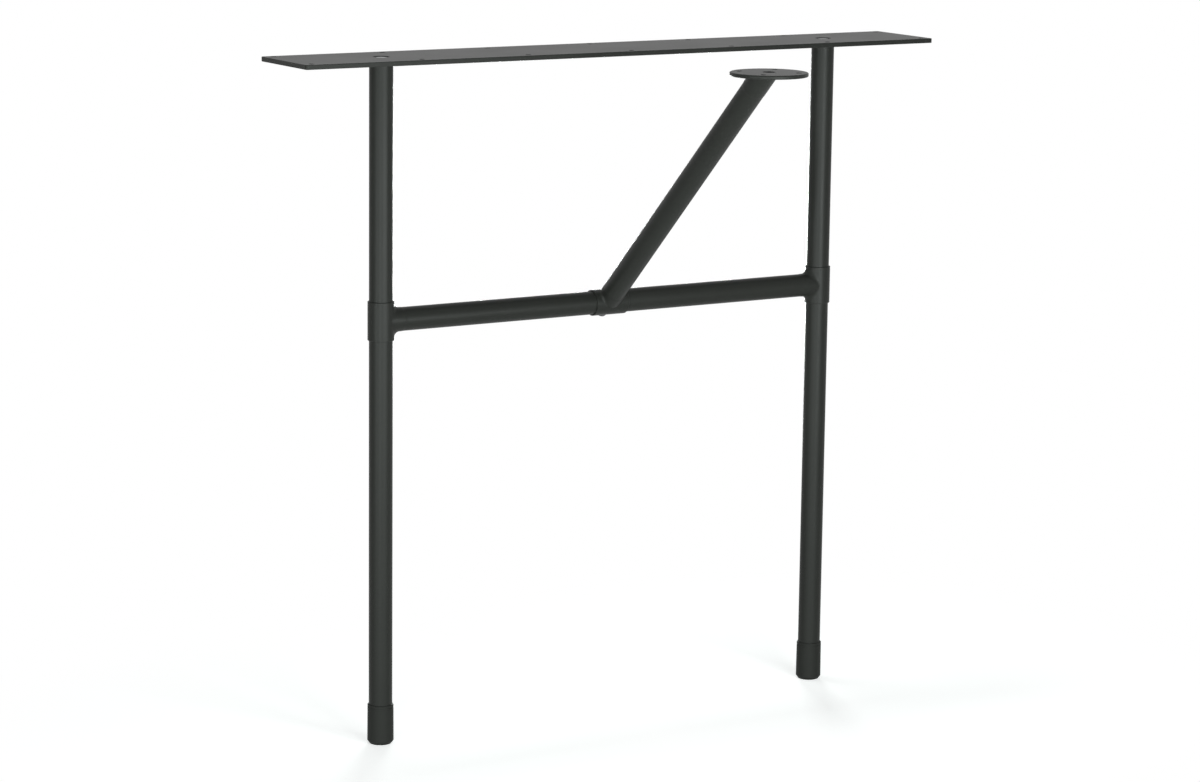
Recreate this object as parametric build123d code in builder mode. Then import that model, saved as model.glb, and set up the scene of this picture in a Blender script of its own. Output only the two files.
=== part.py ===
"""Braced table leg: a mounting plate on two round legs, a cross tube, and a slanting brace with a disc.

The origin is the centre of the plate's upper face, which lies against the underside of a table top.
X runs along the plate, Y across it with the brace on the -Y side, and Z points up. Sizes are in mm.
"""
import os
from math import hypot, radians, tan

from build123d import *

os.makedirs("parts", exist_ok=True)

# Overall height, from the floor to the plate's upper face
leg_height = 730.0

# Mounting plate
plate_length = 776.0
plate_width = 104.0
plate_thickness = 5.0
plate_corner_radius = 3.0
plate_edge_radius = 0.6
plate_hole_diameter = 6.0
plate_hole_columns = 7
plate_hole_rows = 2
plate_hole_end_margin = 10.0
plate_hole_side_margin = 9.0

# Round tube of the legs, the cross tube and the brace
tube_diameter = 25.0
tube_wall = 2.0
leg_inset = 112.0
cross_tube_depth = 275.0

# Sleeves on the legs and on the cross tube
sleeve_wall = 1.4
sleeve_clearance = 0.1
tee_sleeve_height = 41.0
brace_sleeve_length = 40.0
sleeve_edge_bevel = 0.4

# Weld fillets
tee_weld_radius = 7.0
brace_weld_radius = 3.0
disc_weld_radius = 2.5
disc_weld_setback = 7.0
weld_skin = 0.25
weld_toe = 0.03
weld_run_out = 1.0
weld_taper_length = 3.0

# Brace and its disc, whose centre lies a little beyond the brace's axis
brace_reach = 293.0
disc_offset = 10.0
disc_diameter = 79.0
disc_thickness = 4.0
disc_edge_radius = 1.2
disc_center_hole_diameter = 13.0
disc_hole_circle = 60.0
disc_hole_count = 4
disc_hole_diameter = 6.0
disc_first_hole_angle = 45.0

# Countersunk screws through the plate, and the threaded plugs that they bite in
screw_diameter = 8.0
screw_length = 25.0
screw_head_diameter = 15.0
screw_head_angle = 90.0
screw_head_rim = 0.4
screw_head_recess = 1.0
screw_socket_width = 5.0
screw_socket_depth = 3.0
screw_hole_clearance = 0.25
thread_clearance = 0.05
plug_length = 24.0
plug_clearance = 0.1
plug_edge_chamfer = 0.6

# Low-head screw that locks the brace's sleeve to the cross tube
lock_head_diameter = 14.0
lock_head_height = 4.4
lock_head_rim = 3.4
lock_socket_width = 5.0
lock_socket_depth = 2.6
lock_screw_length = 12.0
lock_pad_diameter = 15.0
lock_pad_height = 0.4

# Ferrules on the feet
foot_height = 43.0
foot_top_diameter = 27.6
foot_bottom_diameter = 28.1
foot_base_thickness = 8.0
foot_chamfer_height = 3.4
foot_chamfer_width = 2.6
foot_rim_bevel = 0.5
foot_lip_height = 3.2
foot_groove_width = 0.8
foot_groove_depth = 0.35
foot_clearance = 0.05

# Worked out from the values above
plate_hole_pitch = (plate_length - 2 * plate_hole_end_margin) / (plate_hole_columns - 1)
plate_hole_row_spacing = (plate_width - 2 * plate_hole_side_margin) / (plate_hole_rows - 1)
leg_spacing = plate_length - 2 * leg_inset
tube_radius = tube_diameter / 2
tube_bore_radius = tube_radius - tube_wall
sleeve_bore_radius = tube_radius + sleeve_clearance
sleeve_radius = sleeve_bore_radius + sleeve_wall
weld_skin_radius = tube_radius + weld_skin
weld_toe_radius = tube_radius + weld_toe
on_base = (Align.CENTER, Align.CENTER, Align.MIN)
plate_underside = -plate_thickness
floor_level = -leg_height
cross_level = -cross_tube_depth
leg_bottom = floor_level + foot_base_thickness
screw_hole_radius = screw_diameter / 2 + screw_hole_clearance
leg_positions = {"left": -leg_spacing / 2, "right": leg_spacing / 2}
disc_underside = -disc_thickness
brace_rise = disc_underside - cross_level
brace_axis_length = hypot(brace_reach, brace_rise)

# Lines along the cross tube and along the brace, both starting at the middle of the cross tube
cross_plane = Plane(origin=(0, 0, cross_level), x_dir=(0, 1, 0), z_dir=(1, 0, 0))
brace_plane = Plane(origin=(0, 0, cross_level), x_dir=(1, 0, 0), z_dir=(0, -brace_reach, brace_rise))
lock_plane = Plane(origin=(0, 0, cross_level), x_dir=(1, 0, 0), z_dir=(0, brace_reach, -brace_rise))
lock_axis = Axis((0, 0, cross_level), (0, brace_reach, -brace_rise))

# The countersink is wide enough that the head's rim sits below the plate's upper face
head_flare = tan(radians(screw_head_angle / 2))
countersink_radius = screw_head_diameter / 2 + (screw_head_recess + screw_head_rim) * head_flare
head_top = -screw_head_recess
head_cone_top = head_top - screw_head_rim
head_cone_bottom = head_cone_top - (screw_head_diameter - screw_diameter) / 2 / head_flare


def saddle_edges(part):
    """Edges where a tube runs into a sleeve or a plate: neither straight nor round."""
    return part.edges().filter_by(lambda edge: edge.geom_type not in (GeomType.LINE, GeomType.CIRCLE))


# Mounting plate, with its screw holes and the countersinks over the legs
with BuildPart() as mounting_plate:
    with BuildSketch(Plane.XY.offset(plate_underside)):
        RectangleRounded(plate_length, plate_width, plate_corner_radius)
    extrude(amount=plate_thickness)
    fillet(mounting_plate.faces().filter_by(Axis.Z).edges(), radius=plate_edge_radius)
    with GridLocations(plate_hole_pitch, plate_hole_row_spacing, plate_hole_columns, plate_hole_rows):
        Hole(radius=plate_hole_diameter / 2, depth=plate_thickness)
    with Locations(*[(x, 0, 0) for x in leg_positions.values()]):
        CounterSinkHole(
            radius=screw_hole_radius,
            counter_sink_radius=countersink_radius,
            depth=plate_thickness,
            counter_sink_angle=screw_head_angle,
        )
mounting_plate.part.label = "mounting_plate"
export_step(mounting_plate.part, "parts/mounting_plate.step")


# Legs, from the foot's inside floor to the plate's underside, with what is screwed and pushed on them
for side, leg_x in leg_positions.items():
    with BuildPart() as leg_tube:
        with BuildSketch(Plane(origin=(leg_x, 0, leg_bottom))):
            Circle(tube_radius)
            Circle(tube_bore_radius, mode=Mode.SUBTRACT)
        extrude(amount=plate_underside - leg_bottom)
    leg_tube.part.label = f"{side}_leg_tube"
    export_step(leg_tube.part, f"parts/{side}_leg_tube.step")

    with BuildPart() as leg_plug:
        with BuildSketch(Plane(origin=(leg_x, 0, plate_underside - plug_length))):
            Circle(tube_bore_radius - plug_clearance)
            Circle(screw_diameter / 2 + thread_clearance, mode=Mode.SUBTRACT)
        extrude(amount=plug_length)
        chamfer(leg_plug.edges().filter_by(GeomType.CIRCLE).group_by(SortBy.RADIUS)[-1], plug_edge_chamfer)
    leg_plug.part.label = f"{side}_leg_plug"
    export_step(leg_plug.part, f"parts/{side}_leg_plug.step")

    with BuildPart() as plate_screw:
        with BuildSketch(Plane(origin=(leg_x, 0, 0), x_dir=(1, 0, 0), z_dir=(0, -1, 0))):
            with BuildLine():
                Polyline(
                    (0, head_top),
                    (screw_head_diameter / 2, head_top),
                    (screw_head_diameter / 2, head_cone_top),
                    (screw_diameter / 2, head_cone_bottom),
                    (screw_diameter / 2, head_top - screw_length),
                    (0, head_top - screw_length),
                    close=True,
                )
            make_face()
        revolve(axis=Axis((leg_x, 0, 0), (0, 0, 1)))
        with BuildSketch(Plane(origin=(leg_x, 0, head_top))):
            RegularPolygon(radius=screw_socket_width / 2, side_count=6, major_radius=False)
        extrude(amount=-screw_socket_depth, mode=Mode.SUBTRACT)
    plate_screw.part.label = f"{side}_plate_screw"
    export_step(plate_screw.part, f"parts/{side}_plate_screw.step")

    with BuildPart() as foot:
        with BuildSketch(Plane(origin=(leg_x, 0, floor_level), x_dir=(1, 0, 0), z_dir=(0, -1, 0))):
            with BuildLine():
                Polyline(
                    (0, 0),
                    (foot_bottom_diameter / 2 - foot_chamfer_width, 0),
                    (foot_bottom_diameter / 2, foot_chamfer_height),
                    (foot_top_diameter / 2, foot_height),
                    (tube_radius + foot_clearance, foot_height),
                    (tube_radius + foot_clearance, foot_base_thickness),
                    (0, foot_base_thickness),
                    close=True,
                )
            make_face()
        revolve(axis=Axis((leg_x, 0, 0), (0, 0, 1)))
        top_rims = foot.edges().filter_by(GeomType.CIRCLE).group_by(Axis.Z)[-1]
        chamfer(top_rims.sort_by(SortBy.RADIUS)[-1], length=foot_rim_bevel)
        groove_level = floor_level + foot_height - foot_lip_height
        with BuildSketch(Plane(origin=(leg_x, 0, groove_level - foot_groove_width / 2))):
            Circle(foot_bottom_diameter)
            Circle(foot_top_diameter / 2 - foot_groove_depth, mode=Mode.SUBTRACT)
        extrude(amount=foot_groove_width, mode=Mode.SUBTRACT)
    foot.part.label = f"{side}_foot"
    export_step(foot.part, f"parts/{side}_foot.step")


# Room that the cross tube fills between the two leg sleeves, coped to their outside
with BuildPart() as cross_room:
    with BuildSketch(cross_plane.offset(-leg_spacing / 2)):
        Circle(tube_radius)
    extrude(amount=leg_spacing)
    with BuildSketch(Plane.XY.offset(cross_level)):
        with Locations(*[(x, 0) for x in leg_positions.values()]):
            Circle(sleeve_radius)
    extrude(amount=tube_diameter, both=True, mode=Mode.SUBTRACT)

# Room that the brace fills between its sleeve and the disc
with BuildPart() as brace_room:
    with BuildSketch(brace_plane):
        Circle(tube_radius)
    extrude(amount=brace_axis_length + tube_diameter)
    split(bisect_by=Plane.XY.offset(disc_underside), keep=Keep.BOTTOM)
    with BuildSketch(cross_plane):
        Circle(sleeve_radius)
    extrude(amount=tube_diameter, both=True, mode=Mode.SUBTRACT)


# Left leg's sleeve, with the weld fillet that runs round the coped end of the cross tube
tee_weld_end = sleeve_radius + tee_weld_radius + weld_run_out
left_sleeve_plane = Plane(origin=(leg_positions["left"], 0, cross_level))
with BuildPart() as left_tee_collar:
    with BuildSketch(left_sleeve_plane.offset(-tee_sleeve_height / 2)):
        Circle(sleeve_radius)
    extrude(amount=tee_sleeve_height)
    chamfer(left_tee_collar.edges().filter_by(GeomType.CIRCLE), length=sleeve_edge_bevel)
    with Locations(cross_plane.offset(leg_positions["left"])):
        Cylinder(weld_skin_radius, tee_weld_end, align=on_base)
    with Locations(cross_plane.offset(leg_positions["left"] + tee_weld_end)):
        Cone(weld_skin_radius, weld_toe_radius, weld_taper_length, align=on_base)
    fillet(saddle_edges(left_tee_collar.part), radius=tee_weld_radius)
    add(cross_room.part, mode=Mode.SUBTRACT)
    with BuildSketch(left_sleeve_plane):
        Circle(sleeve_bore_radius)
    extrude(amount=tee_sleeve_height, both=True, mode=Mode.SUBTRACT)
left_tee_collar.part.label = "left_tee_collar"
export_step(left_tee_collar.part, "parts/left_tee_collar.step")


# Right leg's sleeve, the mirror image of the left one
with BuildPart() as right_tee_collar:
    mirror(left_tee_collar.part, about=Plane.YZ)
right_tee_collar.part.label = "right_tee_collar"
export_step(right_tee_collar.part, "parts/right_tee_collar.step")


# Cross tube, tapped on its back for the lock screw
with BuildPart() as cross_tube:
    add(cross_room.part)
    with BuildSketch(cross_plane):
        Circle(tube_bore_radius)
    extrude(amount=leg_spacing, both=True, mode=Mode.SUBTRACT)
    with BuildSketch(lock_plane):
        Circle(screw_diameter / 2 + thread_clearance)
    extrude(amount=tube_diameter, mode=Mode.SUBTRACT)
cross_tube.part.label = "cross_tube"
export_step(cross_tube.part, "parts/cross_tube.step")


# Sleeve of the brace, with its weld fillet and the pad that the lock screw's head seats on
brace_weld_end = sleeve_radius + brace_weld_radius + weld_run_out
with BuildPart() as brace_collar:
    with BuildSketch(cross_plane.offset(-brace_sleeve_length / 2)):
        Circle(sleeve_radius)
    extrude(amount=brace_sleeve_length)
    chamfer(brace_collar.edges().filter_by(GeomType.CIRCLE), length=sleeve_edge_bevel)
    with Locations(brace_plane):
        Cylinder(weld_skin_radius, brace_weld_end, align=on_base)
    with Locations(brace_plane.offset(brace_weld_end)):
        Cone(weld_skin_radius, weld_toe_radius, weld_taper_length, align=on_base)
    fillet(saddle_edges(brace_collar.part), radius=brace_weld_radius)
    add(brace_room.part, mode=Mode.SUBTRACT)
    with BuildSketch(lock_plane):
        Circle(lock_pad_diameter / 2)
    extrude(amount=sleeve_radius + lock_pad_height)
    with BuildSketch(lock_plane):
        Circle(screw_hole_radius)
    extrude(amount=sleeve_radius + lock_pad_height, mode=Mode.SUBTRACT)
    with BuildSketch(cross_plane):
        Circle(sleeve_bore_radius)
    extrude(amount=brace_sleeve_length, both=True, mode=Mode.SUBTRACT)
brace_collar.part.label = "brace_collar"
export_step(brace_collar.part, "parts/brace_collar.step")


# Brace tube, coped to its sleeve and cut level under the disc
with BuildPart() as brace_tube:
    add(brace_room.part)
    with BuildSketch(brace_plane):
        Circle(tube_bore_radius)
    extrude(amount=brace_axis_length + tube_diameter, mode=Mode.SUBTRACT)
brace_tube.part.label = "brace_tube"
export_step(brace_tube.part, "parts/brace_tube.step")


# Disc on the brace's upper end, with the weld fillet that runs round the tube below it
disc_plane = Plane(origin=(0, -brace_reach - disc_offset, disc_underside))
disc_weld_start = brace_axis_length - weld_skin_radius * brace_reach / brace_rise - disc_weld_setback
with BuildPart() as brace_disc:
    with Locations(brace_plane.offset(disc_weld_start)):
        Cylinder(weld_skin_radius, brace_axis_length, align=on_base)
    with Locations(brace_plane.offset(disc_weld_start - weld_taper_length)):
        Cone(weld_toe_radius, weld_skin_radius, weld_taper_length, align=on_base)
    split(bisect_by=Plane.XY.offset(disc_underside), keep=Keep.BOTTOM)
    with BuildSketch(disc_plane):
        Circle(disc_diameter / 2)
    extrude(amount=disc_thickness)
    disc_rims = brace_disc.edges().filter_by(GeomType.CIRCLE).filter_by_position(Axis.Z, disc_underside, 0)
    fillet(disc_rims, radius=disc_edge_radius)
    fillet(saddle_edges(brace_disc.part), radius=disc_weld_radius)
    add(brace_room.part, mode=Mode.SUBTRACT)
    with BuildSketch(disc_plane):
        Circle(disc_center_hole_diameter / 2)
        with PolarLocations(disc_hole_circle / 2, disc_hole_count, disc_first_hole_angle):
            Circle(disc_hole_diameter / 2)
    extrude(amount=disc_thickness, mode=Mode.SUBTRACT)
brace_disc.part.label = "brace_disc"
export_step(brace_disc.part, "parts/brace_disc.step")


# Low-head screw on the back of the brace's sleeve
lock_seat = sleeve_radius + lock_pad_height
with BuildPart() as brace_lock_screw:
    with BuildSketch(lock_plane.offset(lock_seat - lock_screw_length)):
        Circle(screw_diameter / 2)
    extrude(amount=lock_screw_length)
    with BuildSketch(lock_plane.offset(lock_seat)):
        Circle(lock_head_diameter / 2)
    extrude(amount=lock_head_height)
    fillet(
        brace_lock_screw.edges().filter_by(GeomType.CIRCLE).sort_by(lock_axis)[-1:],
        radius=lock_head_height - lock_head_rim,
    )
    with BuildSketch(lock_plane.offset(lock_seat + lock_head_height)):
        RegularPolygon(radius=lock_socket_width / 2, side_count=6, major_radius=False)
    extrude(amount=-lock_socket_depth, mode=Mode.SUBTRACT)
brace_lock_screw.part.label = "brace_lock_screw"
export_step(brace_lock_screw.part, "parts/brace_lock_screw.step")
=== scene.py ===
"""Finishes, stage and camera for a braced table leg of black powder-coated steel tube.

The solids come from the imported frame, in metres: X along the mounting plate, the brace towards -Y, Z up,
with the origin at the middle of the plate's upper face.
"""
import math

import bpy
from mathutils import Euler, Matrix, Vector


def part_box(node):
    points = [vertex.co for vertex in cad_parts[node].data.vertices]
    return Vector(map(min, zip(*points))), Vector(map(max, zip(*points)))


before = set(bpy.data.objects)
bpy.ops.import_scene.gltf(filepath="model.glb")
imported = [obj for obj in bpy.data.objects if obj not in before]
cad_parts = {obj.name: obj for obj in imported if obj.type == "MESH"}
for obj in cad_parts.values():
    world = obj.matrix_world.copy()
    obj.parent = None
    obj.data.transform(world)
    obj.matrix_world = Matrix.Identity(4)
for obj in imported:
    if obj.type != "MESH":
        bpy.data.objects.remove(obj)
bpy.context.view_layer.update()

bl_info = {
    "name": "Braced Table Leg",
    "version": (1, 0, 0),
    "blender": (4, 5, 0),
    "location": "View3D > Sidebar > Table Leg",
    "description": "Finishes the solids of a braced steel table leg and sets them on a studio floor",
    "category": "Object",
}

MM = 0.001
WHITE = (1.0, 1.0, 1.0, 1.0)
BLACK = (0.0, 0.0, 0.0, 1.0)

# The frame's nodes, by finish
COATED_NODES = (
    "mounting_plate",
    "left_leg_tube",
    "right_leg_tube",
    "left_tee_collar",
    "right_tee_collar",
    "cross_tube",
    "brace_collar",
    "brace_tube",
    "brace_disc",
)
ZINC_NODES = ("left_plate_screw", "right_plate_screw", "left_leg_plug", "right_leg_plug")
BLACK_SCREW_NODES = ("brace_lock_screw",)
FERRULE_NODES = ("left_foot", "right_foot")

# Places read from the frame
FLOOR_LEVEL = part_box("left_foot")[0].z
SCREW_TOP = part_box("right_plate_screw")[1].z
LEG_LOW, LEG_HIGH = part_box("right_leg_tube")
LEG_OFFSET = (LEG_LOW.x + LEG_HIGH.x) / 2

# Softboxes round the leg: name, azimuth from straight ahead of the brace and elevation in degrees, distance
# from the point that each faces and height of that point from the plate's upper face in metres, and power
# in watts
SOFTBOXES = (
    ("left_softbox", -70.0, 0.0, 2.2, -0.5, 17.5),
    ("camera_softbox", -40.0, 0.0, 2.2, -0.5, 27.0),
    ("brace_softbox", -10.0, 0.0, 2.2, -0.35, 27.0),
    ("right_softbox", 8.0, 0.0, 1.6, -0.35, 16.0),
    ("far_softbox", 149.0, 0.0, 2.2, -0.5, 60.0),
    ("top_softbox", 180.0, 80.0, 2.2, -0.37, 10.0),
)

# Layers of ever finer noise in a pattern that shows close up, where Blender's default is 2
FINE_LAYERS = 3.0
# How far Blender's wave texture turns in a metre, at a scale of 1
WAVE_RADIANS = 20.0


def linear(hex_colour):
    """sRGB hex to linear RGB: a channel is divided by 12.92 up to 0.04045, and raised to 2.4 above it."""
    channels = [int(hex_colour[i:i + 2], 16) / 255 for i in (1, 3, 5)]
    return tuple(c / 12.92 if c <= 0.04045 else ((c + 0.055) / 1.055) ** 2.4 for c in channels)


def opaque(rgb, share=1.0):
    """RGB times a share, as RGBA with full alpha, for a colour socket."""
    return (*(c * share for c in rgb), 1.0)


def per_metre(width):
    """Scale of a noise pattern whose features are that wide."""
    return 1.0 / width


def rings_per_metre(spacing):
    """Scale of a wave pattern whose rings lie that far apart, one for each full turn of the wave."""
    return math.tau / WAVE_RADIANS / spacing


def add_node(tree, kind, inputs=None, **settings):
    """Adds a node, sets its attributes, and sets each input to a value or links it from a socket."""
    node = tree.nodes.new(kind)
    for name, value in settings.items():
        setattr(node, name, value)
    for name, value in (inputs or {}).items():
        if isinstance(value, bpy.types.NodeSocket):
            tree.links.new(value, node.inputs[name])
        else:
            node.inputs[name].default_value = value
    return node


def new_material(name):
    """A node material with no shader yet, its tree, and the Object coordinates for its patterns."""
    material = bpy.data.materials.new(name)
    material.use_nodes = True
    tree = material.node_tree
    tree.nodes.clear()
    place = add_node(tree, "ShaderNodeTexCoord").outputs["Object"]
    return material, tree, place


def from_leg_axis(tree, place):
    """Place on the plan from the axis of the nearer leg, folded over because the legs are mirror images."""
    plan = add_node(tree, "ShaderNodeVectorMath", {0: place, 1: (1.0, 1.0, 0.0)}, operation="MULTIPLY")
    folded = add_node(tree, "ShaderNodeVectorMath", {0: plan.outputs["Vector"]}, operation="ABSOLUTE")
    centred = add_node(
        tree,
        "ShaderNodeVectorMath",
        {0: folded.outputs["Vector"], 1: (LEG_OFFSET, 0.0, 0.0)},
        operation="SUBTRACT",
    )
    return centred.outputs["Vector"]


def cover(names, material):
    """Gives the material to the CAD nodes with these names."""
    for name in names:
        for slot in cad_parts[name].material_slots:
            slot.material = material


def colour_setting(name, description, hex_colour):
    """A colour that a user may change, with an sRGB hex value for its default."""
    return bpy.props.FloatVectorProperty(
        name=name,
        description=description,
        subtype="COLOR",
        size=3,
        min=0.0,
        max=1.0,
        default=linear(hex_colour),
    )


class TABLELEG_PG_finish(bpy.types.PropertyGroup):
    """Colours and gloss of the table leg's finishes."""

    coat_colour: colour_setting("Coat Colour", "Colour of the powder coat", "#1b1c1a")
    coat_roughness: bpy.props.FloatProperty(
        name="Coat Roughness",
        description="Mean roughness of the satin powder coat",
        subtype="FACTOR",
        min=0.0,
        max=1.0,
        default=0.425,
    )
    coat_peel: bpy.props.FloatProperty(
        name="Orange Peel",
        description="Height of the powder coat's orange peel",
        unit="LENGTH",
        min=0.0,
        default=0.03 * MM,
    )
    zinc_colour: colour_setting("Zinc Colour", "Colour of the zinc plate on the screws", "#c2c4c4")
    black_oxide_colour: colour_setting("Black Oxide Colour", "Colour of the black lock screw", "#1f1f21")
    ferrule_colour: colour_setting("Ferrule Colour", "Colour of the moulded feet", "#191a18")


class TABLELEG_PG_stage(bpy.types.PropertyGroup):
    """Camera, lamps and floor."""

    azimuth: bpy.props.FloatProperty(
        name="Azimuth",
        description="Turn of the camera round the leg, from straight ahead of the brace",
        subtype="ANGLE",
        default=math.radians(-31.452),
    )
    elevation: bpy.props.FloatProperty(
        name="Elevation",
        description="Height of the camera above the horizon",
        subtype="ANGLE",
        default=math.radians(10.538),
    )
    roll: bpy.props.FloatProperty(
        name="Roll",
        description="Turn of the camera about its own line of sight",
        subtype="ANGLE",
        default=math.radians(0.713),
    )
    distance: bpy.props.FloatProperty(
        name="Distance",
        description="From the camera to the point that it looks at",
        unit="LENGTH",
        default=3905.1 * MM,
    )
    aim: bpy.props.FloatVectorProperty(
        name="Aim",
        description="Point that the camera looks at",
        subtype="XYZ",
        unit="LENGTH",
        size=3,
        default=(-7.47 * MM, 0.0, -372.67 * MM),
    )
    lens: bpy.props.FloatProperty(
        name="Lens",
        description="Focal length, in millimetres, on a 36 mm sensor",
        unit="CAMERA",
        default=108.0,
    )
    ambient: bpy.props.FloatProperty(
        name="Ambient",
        description="Light from the room on surfaces, where 1 is as bright as the background",
        subtype="FACTOR",
        min=0.0,
        max=1.0,
        default=0.1,
    )
    lamp_colour: colour_setting("Lamp Colour", "Colour of the softboxes' light", "#f8fffd")
    softbox_width: bpy.props.FloatProperty(
        name="Softbox Width",
        description="Width of each softbox",
        unit="LENGTH",
        default=0.5,
    )
    softbox_height: bpy.props.FloatProperty(
        name="Softbox Height",
        description="Height of each softbox",
        unit="LENGTH",
        default=0.4,
    )
    floor_size: bpy.props.FloatProperty(
        name="Floor Size",
        description="Width of the floor",
        unit="LENGTH",
        default=40.0,
    )
    floor_colour: colour_setting("Floor Colour", "Colour of the floor's matt paper", "#e7e7e7")
    shadow_core: bpy.props.FloatProperty(
        name="Shadow Core",
        description="Distance from each leg's axis up to which the floor shows its shadows in full",
        unit="LENGTH",
        default=0.125,
    )
    shadow_reach: bpy.props.FloatProperty(
        name="Shadow Reach",
        description="Distance from each leg's axis at which the floor is plain white again",
        unit="LENGTH",
        default=0.5,
    )
    shadow_lift: bpy.props.FloatProperty(
        name="Shadow Lift",
        description="White that is added to the matt floor near the feet, so that its open parts are white",
        subtype="FACTOR",
        min=0.0,
        max=1.0,
        default=0.53,
    )


# Powder coat. Its IOR starts from a resin's 1.5, and is lowered to the faint gloss in the photograph
COAT_DRIFT_WIDTH = 60.0 * MM
COAT_PEEL_WIDTH = 2.2 * MM
COAT_COLOUR_SPREAD = 0.08
COAT_ROUGHNESS_SPREAD = 0.03
COAT_IOR = 1.2


def powder_coat(finish):
    """Powder-coated steel, sprayed as dry powder and baked.

    The film is satin, so the lamps show as soft bands along the tubes. It flows out in a faint orange peel,
    and its colour and gloss drift a little from place to place.
    """
    material, tree, place = new_material("satin_powder_coat")
    drift = add_node(tree, "ShaderNodeTexNoise", {"Vector": place, "Scale": per_metre(COAT_DRIFT_WIDTH)})
    peel = add_node(
        tree,
        "ShaderNodeTexNoise",
        {"Vector": place, "Scale": per_metre(COAT_PEEL_WIDTH), "Detail": FINE_LAYERS},
    )
    colour = add_node(
        tree,
        "ShaderNodeMix",
        {
            "Factor": drift.outputs["Fac"],
            "A": opaque(finish.coat_colour, 1.0 - COAT_COLOUR_SPREAD),
            "B": opaque(finish.coat_colour, 1.0 + COAT_COLOUR_SPREAD),
        },
        data_type="RGBA",
    )
    roughness = add_node(
        tree,
        "ShaderNodeMapRange",
        {
            "Value": drift.outputs["Fac"],
            "To Min": finish.coat_roughness - COAT_ROUGHNESS_SPREAD,
            "To Max": finish.coat_roughness + COAT_ROUGHNESS_SPREAD,
        },
    )
    bump = add_node(tree, "ShaderNodeBump", {"Height": peel.outputs["Fac"], "Distance": finish.coat_peel})
    shader = add_node(
        tree,
        "ShaderNodeBsdfPrincipled",
        {
            "Base Color": colour.outputs["Result"],
            "Roughness": roughness.outputs["Result"],
            "Normal": bump.outputs["Normal"],
            "IOR": COAT_IOR,
        },
    )
    add_node(tree, "ShaderNodeOutputMaterial", {"Surface": shader.outputs["BSDF"]})
    return material


# Zinc plate, with shares of its colour where it is dull or bright, and where painted shade darkens the
# sockets.
# The painted shade fades out between two radii, and between two depths below the top of the head
ZINC_RING_SPACING = 1.0 * MM
ZINC_RING_HEIGHT = 0.02 * MM
ZINC_RING_WAVER = 0.6
ZINC_RING_WAVER_LAYERS = 1.0
ZINC_CLOUD_WIDTH = 4.0 * MM
ZINC_DULL_SHARE = 0.75
ZINC_BRIGHT_SHARE = 1.2
ZINC_PAINTED_SHADE_SHARE = 0.12
ZINC_ROUGHNESS = 0.56
ZINC_ROUGHNESS_SPREAD = 0.06
SOCKET_SHADE_INNER_RADIUS = 3.0 * MM
SOCKET_SHADE_OUTER_RADIUS = 3.4 * MM
SOCKET_SHADE_LOWER_DEPTH = 1.0 * MM
SOCKET_SHADE_UPPER_DEPTH = 0.1 * MM


def painted_socket_shade(tree, place, plan):
    """Painted shade: 1 down in a screw's socket, where shade falls, and 0 on its head."""
    radius = add_node(tree, "ShaderNodeVectorMath", {0: plan}, operation="LENGTH")
    height = add_node(tree, "ShaderNodeSeparateXYZ", {"Vector": place})
    inside = add_node(
        tree,
        "ShaderNodeMapRange",
        {
            "Value": radius.outputs["Value"],
            "From Min": SOCKET_SHADE_INNER_RADIUS,
            "From Max": SOCKET_SHADE_OUTER_RADIUS,
            "To Min": 1.0,
            "To Max": 0.0,
        },
    )
    # Painted shade: full at the socket's floor, fading out just below the top of the head
    socket_shade = add_node(
        tree,
        "ShaderNodeMapRange",
        {
            "Value": height.outputs["Z"],
            "From Min": SCREW_TOP - SOCKET_SHADE_LOWER_DEPTH,
            "From Max": SCREW_TOP - SOCKET_SHADE_UPPER_DEPTH,
            "To Min": inside.outputs["Result"],
            "To Max": 0.0,
        },
    )
    return socket_shade.outputs["Result"]


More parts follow.
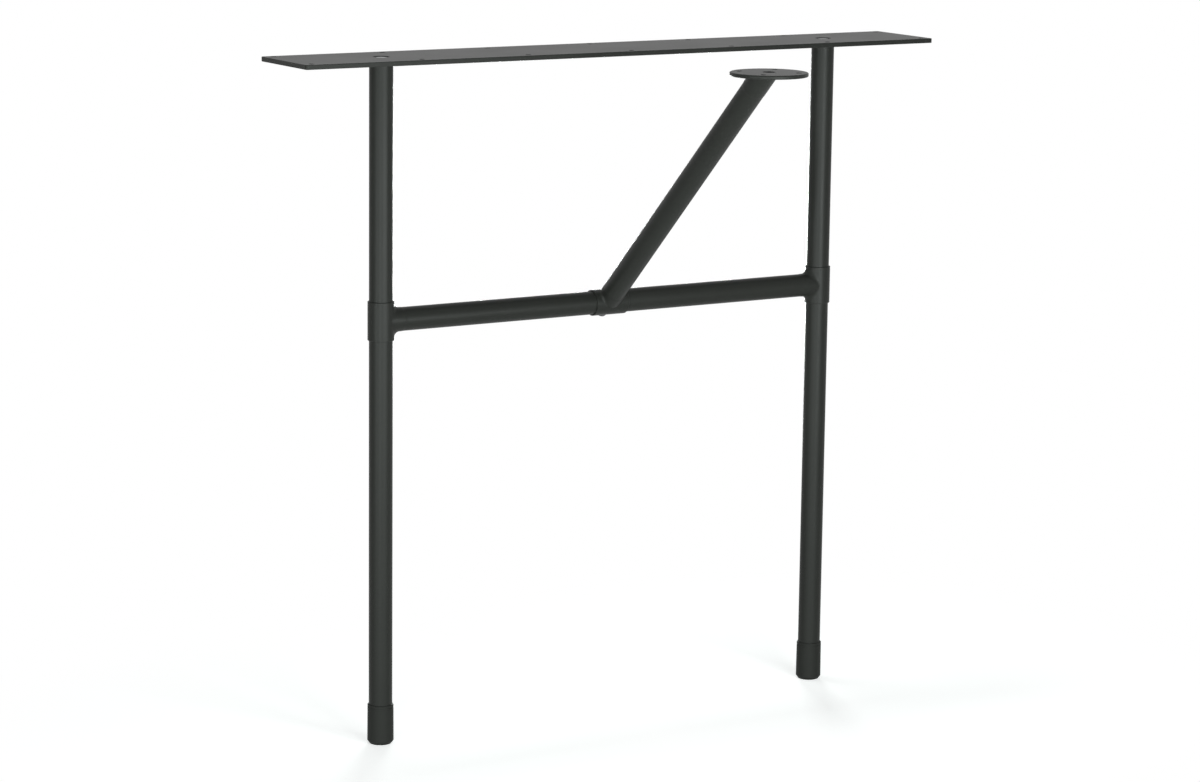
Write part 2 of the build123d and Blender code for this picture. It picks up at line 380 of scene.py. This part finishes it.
def zinc_plate(finish):
    """Zinc-plated and passivated steel, turned on a lathe.

    It is a dull grey metal with rings from the tool on each head and cloudy patches, and painted shade
    darkens it down in the socket. Real tool rings are finer, and are drawn 1 mm apart so that they show.
    """
    material, tree, place = new_material("zinc_plated_steel")
    plan = from_leg_axis(tree, place)
    rings = add_node(
        tree,
        "ShaderNodeTexWave",
        {
            "Vector": plan,
            "Scale": rings_per_metre(ZINC_RING_SPACING),
            "Distortion": ZINC_RING_WAVER,
            "Detail": ZINC_RING_WAVER_LAYERS,
        },
        wave_type="RINGS",
        rings_direction="Z",
    )
    clouds = add_node(
        tree,
        "ShaderNodeTexNoise",
        {"Vector": place, "Scale": per_metre(ZINC_CLOUD_WIDTH), "Detail": FINE_LAYERS},
    )
    cloudy = add_node(
        tree,
        "ShaderNodeMix",
        {
            "Factor": clouds.outputs["Fac"],
            "A": opaque(finish.zinc_colour, ZINC_DULL_SHARE),
            "B": opaque(finish.zinc_colour, ZINC_BRIGHT_SHARE),
        },
        data_type="RGBA",
    )
    # Painted shade: in the socket the colour drops to a small share of the zinc's, where shade falls
    colour = add_node(
        tree,
        "ShaderNodeMix",
        {
            "Factor": painted_socket_shade(tree, place, plan),
            "A": cloudy.outputs["Result"],
            "B": opaque(finish.zinc_colour, ZINC_PAINTED_SHADE_SHARE),
        },
        data_type="RGBA",
    )
    roughness = add_node(
        tree,
        "ShaderNodeMapRange",
        {
            "Value": clouds.outputs["Fac"],
            "To Min": ZINC_ROUGHNESS - ZINC_ROUGHNESS_SPREAD,
            "To Max": ZINC_ROUGHNESS + ZINC_ROUGHNESS_SPREAD,
        },
    )
    bump = add_node(tree, "ShaderNodeBump", {"Height": rings.outputs["Fac"], "Distance": ZINC_RING_HEIGHT})
    shader = add_node(
        tree,
        "ShaderNodeBsdfPrincipled",
        {
            "Base Color": colour.outputs["Result"],
            "Metallic": 1.0,
            "Roughness": roughness.outputs["Result"],
            "Normal": bump.outputs["Normal"],
        },
    )
    add_node(tree, "ShaderNodeOutputMaterial", {"Surface": shader.outputs["BSDF"]})
    return material


# Black oxide
OXIDE_PATCH_WIDTH = 3.0 * MM
OXIDE_COLOUR_SPREAD = 0.3
OXIDE_ROUGHNESS = 0.38
OXIDE_ROUGHNESS_SPREAD = 0.08


def black_oxide(finish):
    """Black-oxidised steel, dipped in a hot bath and oiled.

    It is a dark satin skin, with patches that are duller where the oiled film has dried.
    """
    material, tree, place = new_material("black_oxide_steel")
    patches = add_node(
        tree,
        "ShaderNodeTexNoise",
        {"Vector": place, "Scale": per_metre(OXIDE_PATCH_WIDTH), "Detail": FINE_LAYERS},
    )
    colour = add_node(
        tree,
        "ShaderNodeMix",
        {
            "Factor": patches.outputs["Fac"],
            "A": opaque(finish.black_oxide_colour, 1.0 - OXIDE_COLOUR_SPREAD),
            "B": opaque(finish.black_oxide_colour, 1.0 + OXIDE_COLOUR_SPREAD),
        },
        data_type="RGBA",
    )
    roughness = add_node(
        tree,
        "ShaderNodeMapRange",
        {
            "Value": patches.outputs["Fac"],
            "To Min": OXIDE_ROUGHNESS - OXIDE_ROUGHNESS_SPREAD,
            "To Max": OXIDE_ROUGHNESS + OXIDE_ROUGHNESS_SPREAD,
        },
    )
    shader = add_node(
        tree,
        "ShaderNodeBsdfPrincipled",
        {"Base Color": colour.outputs["Result"], "Roughness": roughness.outputs["Result"]},
    )
    add_node(tree, "ShaderNodeOutputMaterial", {"Surface": shader.outputs["BSDF"]})
    return material


# Rubber. Its specular level is lowered from the usual 0.5, until the feet are as matt as in the photograph
RUBBER_GRAIN_WIDTH = 1.2 * MM
RUBBER_GRAIN_HEIGHT = 0.04 * MM
RUBBER_BLOOM_WIDTH = 18.0 * MM
RUBBER_COLOUR_SPREAD = 0.15
RUBBER_ROUGHNESS = 0.56
RUBBER_ROUGHNESS_SPREAD = 0.06
RUBBER_SPECULAR_LEVEL = 0.1


def moulded_rubber(finish):
    """Black rubber, moulded in a spark-eroded steel tool.

    It is matt, with the tool's fine grain all over and a bloom that greys it in patches. The real grain is
    about half as wide, and is drawn 1.2 mm wide so that it shows.
    """
    material, tree, place = new_material("moulded_rubber")
    grain = add_node(tree, "ShaderNodeTexNoise", {"Vector": place, "Scale": per_metre(RUBBER_GRAIN_WIDTH)})
    bloom = add_node(tree, "ShaderNodeTexNoise", {"Vector": place, "Scale": per_metre(RUBBER_BLOOM_WIDTH)})
    colour = add_node(
        tree,
        "ShaderNodeMix",
        {
            "Factor": bloom.outputs["Fac"],
            "A": opaque(finish.ferrule_colour, 1.0 - RUBBER_COLOUR_SPREAD),
            "B": opaque(finish.ferrule_colour, 1.0 + RUBBER_COLOUR_SPREAD),
        },
        data_type="RGBA",
    )
    roughness = add_node(
        tree,
        "ShaderNodeMapRange",
        {
            "Value": bloom.outputs["Fac"],
            "To Min": RUBBER_ROUGHNESS - RUBBER_ROUGHNESS_SPREAD,
            "To Max": RUBBER_ROUGHNESS + RUBBER_ROUGHNESS_SPREAD,
        },
    )
    bump = add_node(
        tree,
        "ShaderNodeBump",
        {"Height": grain.outputs["Fac"], "Distance": RUBBER_GRAIN_HEIGHT},
    )
    shader = add_node(
        tree,
        "ShaderNodeBsdfPrincipled",
        {
            "Base Color": colour.outputs["Result"],
            "Roughness": roughness.outputs["Result"],
            "Normal": bump.outputs["Normal"],
            "Specular IOR Level": RUBBER_SPECULAR_LEVEL,
        },
    )
    add_node(tree, "ShaderNodeOutputMaterial", {"Surface": shader.outputs["BSDF"]})
    return material


def facing(azimuth, elevation):
    """Turn of a camera or lamp that faces the leg from that side. Azimuth 0 is ahead of the brace."""
    return Euler((math.pi / 2 - elevation, 0.0, azimuth)).to_matrix()


def stand_back(obj, target, turn, distance):
    """Adds a camera or lamp to the scene, turned so, with the target that far straight ahead of it."""
    bpy.context.scene.collection.objects.link(obj)
    place = target + turn @ Vector((0.0, 0.0, distance))
    obj.matrix_world = Matrix.Translation(place) @ turn.to_4x4()


def set_camera(stage):
    """A camera that looks at the aim point from the given side, rolled about its line of sight."""
    camera = bpy.data.objects.new("camera", bpy.data.cameras.new("camera"))
    camera.data.sensor_fit = "HORIZONTAL"
    camera.data.lens = stage.lens
    turn = facing(stage.azimuth, stage.elevation) @ Matrix.Rotation(stage.roll, 3, "Z")
    stand_back(camera, Vector(stage.aim), turn, stage.distance)
    bpy.context.scene.camera = camera


def set_lamps(stage):
    """Area lamps, each of which faces a point on the leg's middle axis from its own side."""
    for name, azimuth, elevation, distance, level, power in SOFTBOXES:
        data = bpy.data.lights.new(name, "AREA")
        data.shape = "RECTANGLE"
        data.size = stage.softbox_width
        data.size_y = stage.softbox_height
        data.color = stage.lamp_colour
        data.energy = power
        lamp = bpy.data.objects.new(name, data)
        lamp.visible_camera = False
        turn = facing(math.radians(azimuth), math.radians(elevation))
        stand_back(lamp, Vector((0.0, 0.0, level)), turn, distance)


def seen_ray(tree):
    """1 for a ray from the camera, a reflection or glass, and 0 for the others."""
    path = add_node(tree, "ShaderNodeLightPath").outputs
    mirrored = add_node(
        tree,
        "ShaderNodeMath",
        {0: path["Is Glossy Ray"], 1: path["Is Transmission Ray"]},
        operation="MAXIMUM",
    )
    seen = add_node(
        tree,
        "ShaderNodeMath",
        {0: path["Is Camera Ray"], 1: mirrored.outputs["Value"]},
        operation="MAXIMUM",
    )
    return seen.outputs["Value"]


def set_world(stage):
    """White where the background is seen directly or reflected, and a dim room light for other rays."""
    world = bpy.data.worlds.new("studio")
    world.use_nodes = True
    bpy.context.scene.world = world
    tree = world.node_tree
    tree.nodes.clear()
    strength = add_node(
        tree,
        "ShaderNodeMapRange",
        {"Value": seen_ray(tree), "To Min": stage.ambient, "To Max": 1.0},
    )
    shade = add_node(
        tree,
        "ShaderNodeBackground",
        {"Color": WHITE, "Strength": strength.outputs["Result"]},
    )
    add_node(tree, "ShaderNodeOutputWorld", {"Surface": shade.outputs["Background"]})


def floor_paper(stage):
    """White studio paper, matt, with the shadow of the feet and legs.

    Near each foot the seen paper is matt with white added, so that its open parts come to full white and
    only shadows stay darker. Further out the matt share falls smoothly to nothing, and the paper is plain
    white. Other rays meet matt paper everywhere.
    """
    material, tree, place = new_material("white_floor")
    reach = add_node(tree, "ShaderNodeVectorMath", {0: from_leg_axis(tree, place)}, operation="LENGTH")
    far = add_node(
        tree,
        "ShaderNodeMapRange",
        {"Value": reach.outputs["Value"], "From Min": stage.shadow_core, "From Max": stage.shadow_reach},
        interpolation_type="SMOOTHSTEP",
    ).outputs["Result"]
    near_colour = add_node(
        tree,
        "ShaderNodeMix",
        {"Factor": far, "A": opaque(stage.floor_colour), "B": BLACK},
        data_type="RGBA",
    )
    lift = add_node(tree, "ShaderNodeMapRange", {"Value": far, "To Min": stage.shadow_lift, "To Max": 1.0})
    shaded = add_node(tree, "ShaderNodeBsdfDiffuse", {"Color": near_colour.outputs["Result"]})
    white = add_node(tree, "ShaderNodeEmission", {"Color": WHITE, "Strength": lift.outputs["Result"]})
    seen = add_node(tree, "ShaderNodeAddShader", {0: shaded.outputs["BSDF"], 1: white.outputs["Emission"]})
    matt = add_node(tree, "ShaderNodeBsdfDiffuse", {"Color": opaque(stage.floor_colour)})
    surface = add_node(
        tree,
        "ShaderNodeMixShader",
        {"Fac": seen_ray(tree), 1: matt.outputs["BSDF"], 2: seen.outputs["Shader"]},
    )
    add_node(tree, "ShaderNodeOutputMaterial", {"Surface": surface.outputs["Shader"]})
    return material


def set_floor(stage):
    """A flat square of studio paper, level with the bases of the feet."""
    half = stage.floor_size / 2
    corners = [(-half, -half), (half, -half), (half, half), (-half, half)]
    mesh = bpy.data.meshes.new("floor")
    mesh.from_pydata([(x, y, FLOOR_LEVEL) for x, y in corners], [], [(0, 1, 2, 3)])
    mesh.materials.append(floor_paper(stage))
    floor = bpy.data.objects.new("floor", mesh)
    bpy.context.scene.collection.objects.link(floor)


class TABLELEG_OT_coat_steel(bpy.types.Operator):
    """Powder-coat the plate, the tubes, the sleeves and the disc"""

    bl_idname = "tableleg.coat_steel"
    bl_label = "Coat Steel"

    def execute(self, context):
        cover(COATED_NODES, powder_coat(context.scene.tableleg_finish))
        return {"FINISHED"}


class TABLELEG_OT_plate_screws(bpy.types.Operator):
    """Zinc-plate the plate screws and the plugs that they bite in"""

    bl_idname = "tableleg.plate_screws"
    bl_label = "Plate Screws"

    def execute(self, context):
        cover(ZINC_NODES, zinc_plate(context.scene.tableleg_finish))
        return {"FINISHED"}


class TABLELEG_OT_blacken_lock_screw(bpy.types.Operator):
    """Blacken the screw that locks the brace's sleeve"""

    bl_idname = "tableleg.blacken_lock_screw"
    bl_label = "Blacken Lock Screw"

    def execute(self, context):
        cover(BLACK_SCREW_NODES, black_oxide(context.scene.tableleg_finish))
        return {"FINISHED"}


class TABLELEG_OT_finish_feet(bpy.types.Operator):
    """Give the feet their moulded rubber"""

    bl_idname = "tableleg.finish_feet"
    bl_label = "Finish Feet"

    def execute(self, context):
        cover(FERRULE_NODES, moulded_rubber(context.scene.tableleg_finish))
        return {"FINISHED"}


class TABLELEG_OT_set_stage(bpy.types.Operator):
    """Set the floor, the room light, the lamps and the camera"""

    bl_idname = "tableleg.set_stage"
    bl_label = "Set Stage"

    def execute(self, context):
        stage = context.scene.tableleg_stage
        set_floor(stage)
        set_world(stage)
        set_lamps(stage)
        set_camera(stage)
        context.scene.view_settings.view_transform = "Standard"
        return {"FINISHED"}


STEPS = (
    TABLELEG_OT_coat_steel,
    TABLELEG_OT_plate_screws,
    TABLELEG_OT_blacken_lock_screw,
    TABLELEG_OT_finish_feet,
    TABLELEG_OT_set_stage,
)


class TABLELEG_PT_sidebar(bpy.types.Panel):
    """Lists the settings and the steps that dress the table leg"""

    bl_idname = "TABLELEG_PT_sidebar"
    bl_label = "Table Leg"
    bl_space_type = "VIEW_3D"
    bl_region_type = "UI"
    bl_category = "Table Leg"

    def draw(self, context):
        for settings in (context.scene.tableleg_finish, context.scene.tableleg_stage):
            for name in settings.__annotations__:
                self.layout.prop(settings, name)
        for step in STEPS:
            self.layout.operator(step.bl_idname)


CLASSES = (TABLELEG_PG_finish, TABLELEG_PG_stage, *STEPS, TABLELEG_PT_sidebar)


def register():
    for cls in CLASSES:
        bpy.utils.register_class(cls)
    bpy.types.Scene.tableleg_finish = bpy.props.PointerProperty(type=TABLELEG_PG_finish)
    bpy.types.Scene.tableleg_stage = bpy.props.PointerProperty(type=TABLELEG_PG_stage)


def unregister():
    del bpy.types.Scene.tableleg_stage
    del bpy.types.Scene.tableleg_finish
    for cls in reversed(CLASSES):
        bpy.utils.unregister_class(cls)


def main():
    register()
    bpy.ops.tableleg.coat_steel()
    bpy.ops.tableleg.plate_screws()
    bpy.ops.tableleg.blacken_lock_screw()
    bpy.ops.tableleg.finish_feet()
    bpy.ops.tableleg.set_stage()


if __name__ == "__main__":
    main()
